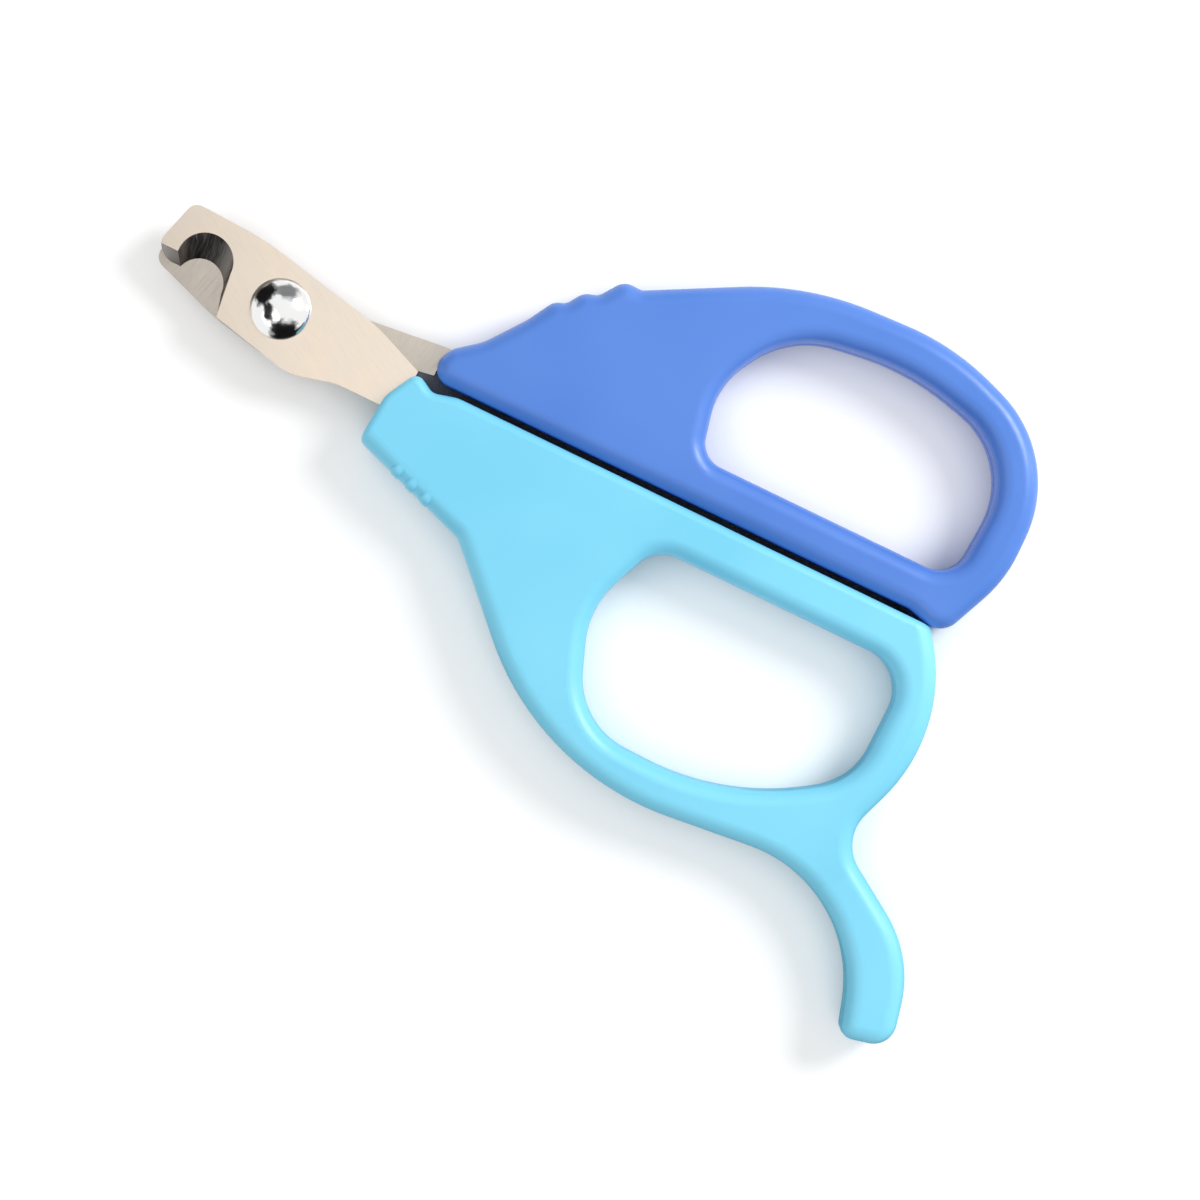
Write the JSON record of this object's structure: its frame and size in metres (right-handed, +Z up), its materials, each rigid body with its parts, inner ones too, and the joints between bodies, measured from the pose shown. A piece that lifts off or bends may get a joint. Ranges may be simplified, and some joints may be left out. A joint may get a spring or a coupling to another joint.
{
  "type": "pet nail clipper",
  "caption": "Scissor-type pet nail clipper: two crossing steel blades with half-round notches, a domed rivet and plastic handles with finger loops and a finger rest.",
  "frame": {"origin": "under the middle of the closed clipper, on the surface that it lies on", "axes": "+X from the nose of the blades to the finger loops, +Y across to the side of the upper handle, +Z up out of the surface that it lies on; the pivot axis is parallel to Z"},
  "size_m": [0.1288, 0.0856, 0.009],
  "materials": {
    "blade_steel": "satin ground stainless steel",
    "rivet_chrome": "polished",
    "sky_plastic": "light sky blue, semi-gloss moulding",
    "blue_plastic": "mid blue, semi-gloss moulding"
  },
  "bodies": {
    "lower_half": {"lower_handle": "sky_plastic", "front_blade": "blade_steel", "pivot_rivet": "rivet_chrome", "rivet_washer": "rivet_chrome"},
    "upper_half": {"upper_handle": "blue_plastic", "rear_blade": "blade_steel"}
  },
  "joints": [
    {"name": "pivot", "type": "hinge", "parent": "lower_half", "child": "upper_half", "pos_m": [-0.0467, 0.0096, 0.0045], "axis": [0, 0, 1], "range_deg": [0, 45]}
  ]
}
